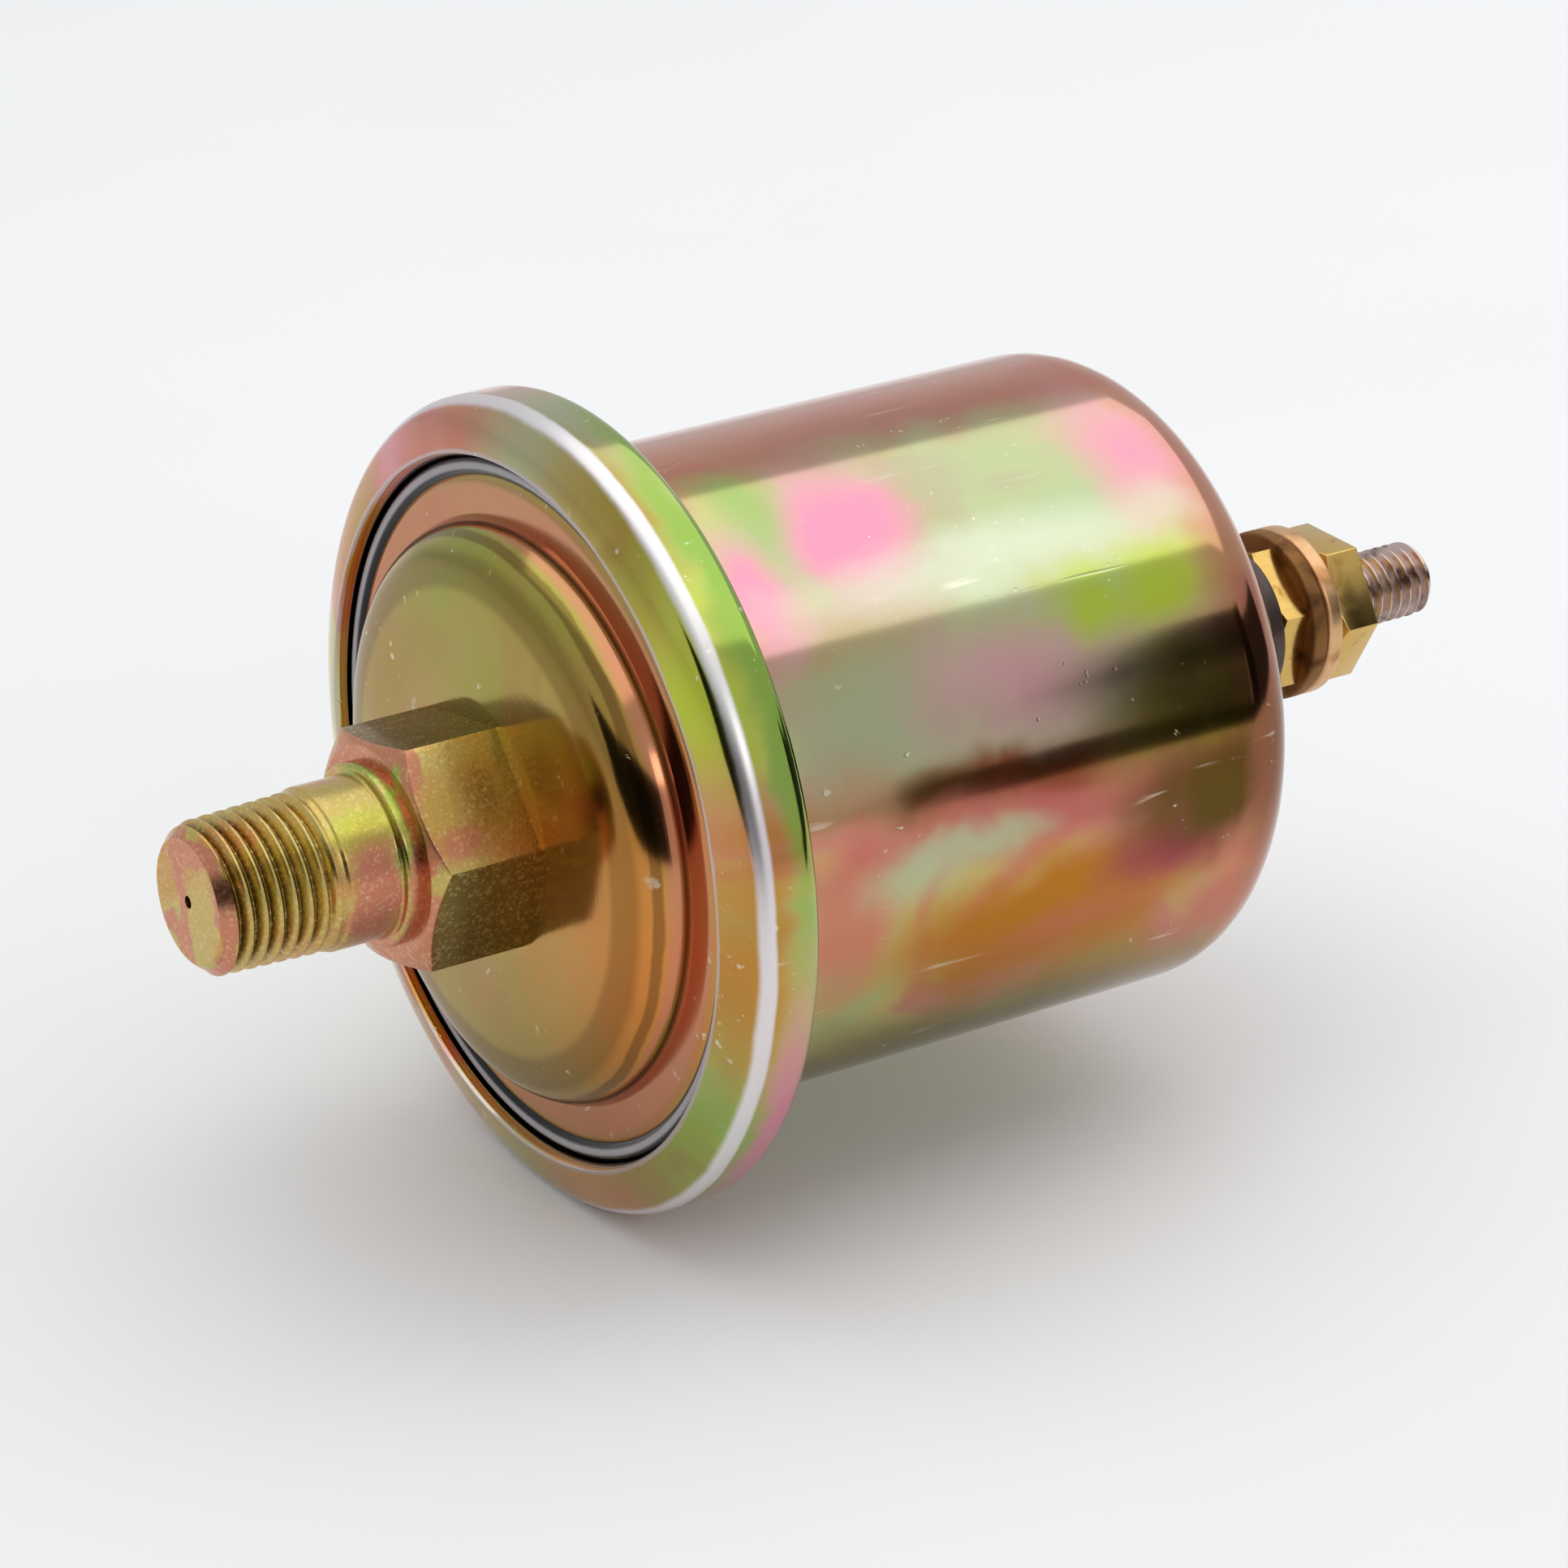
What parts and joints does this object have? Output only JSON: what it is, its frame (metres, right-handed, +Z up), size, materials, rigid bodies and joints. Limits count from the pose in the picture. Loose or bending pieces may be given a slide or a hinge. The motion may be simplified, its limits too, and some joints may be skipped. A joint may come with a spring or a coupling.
{
  "type": "oil pressure sender",
  "caption": "Pressure sender with a tapered threaded port on a hexagon, a crimped drum housing and one insulated stud terminal.",
  "frame": {"origin": "on the sender's axis at the front face of the fitting's hexagon, where the threaded stem begins", "axes": "+X along the axis from the port thread to the terminal stud, +Z up, +Y to the left when looking along +X"},
  "size_m": [0.0933, 0.052, 0.052],
  "materials": {
    "chromate_sheet": "iridescent yellow chromate over zinc, glossy",
    "chromate_turned": "yellow chromate over zinc, slightly grainy",
    "seal_rubber": "glossy black rubber",
    "terminal_brass": "bright brass",
    "washer_brass": "dull copper-coloured brass",
    "spring_bronze": "dark bronze",
    "stud_steel": "plain steel thread",
    "insulator": "dark brown moulded phenolic",
    "inner_steel": "plain steel",
    "former_board": "brown laminate",
    "resistance_wire": "fine bare wire",
    "contact_silver": "polished silver contact"
  },
  "bodies": {
    "housing": {"pressure_fitting": "chromate_turned", "pressure_plate": "chromate_sheet", "rim_seal": "seal_rubber", "housing_can": "chromate_sheet", "diaphragm": "inner_steel", "return_spring": "inner_steel", "carrier_plate": "chromate_sheet", "guide_bush": "terminal_brass", "movement_frame": "inner_steel", "frame_screws": "inner_steel", "pivot_pin": "inner_steel", "resistor_former": "former_board", "resistance_winding": "resistance_wire", "former_insulator": "former_board", "former_rivets": "terminal_brass", "contact_strip": "terminal_brass", "terminal_stud": "stud_steel", "inner_insulating_washer": "insulator", "terminal_insulator": "insulator", "inner_nut": "terminal_brass", "spring_washer": "spring_bronze", "flat_washer": "washer_brass", "outer_nut": "terminal_brass"},
    "plunger": {"diaphragm_button": "inner_steel", "push_pin": "inner_steel"},
    "wiper": {"lever": "inner_steel", "wiper_spring": "spring_bronze", "wiper_contact": "contact_silver"}
  },
  "joints": [
    {"name": "pressure_travel", "type": "slide", "parent": "housing", "child": "plunger", "axis": [1, 0, 0], "range_m": [0, 0.0014], "stiffness_N_per_m": 300, "springref_m": -0.001, "deforming": ["diaphragm", "return_spring"]},
    {"name": "wiper_sweep", "type": "hinge", "parent": "housing", "child": "wiper", "pos_m": [0.02794, 0, 0.0028], "axis": [0, -1, 0], "range_deg": [0, 28.7]}
  ],
  "couplings": [
    {"joint": "wiper_sweep", "follows": "pressure_travel", "rad_per_m": 357.14}
  ]
}
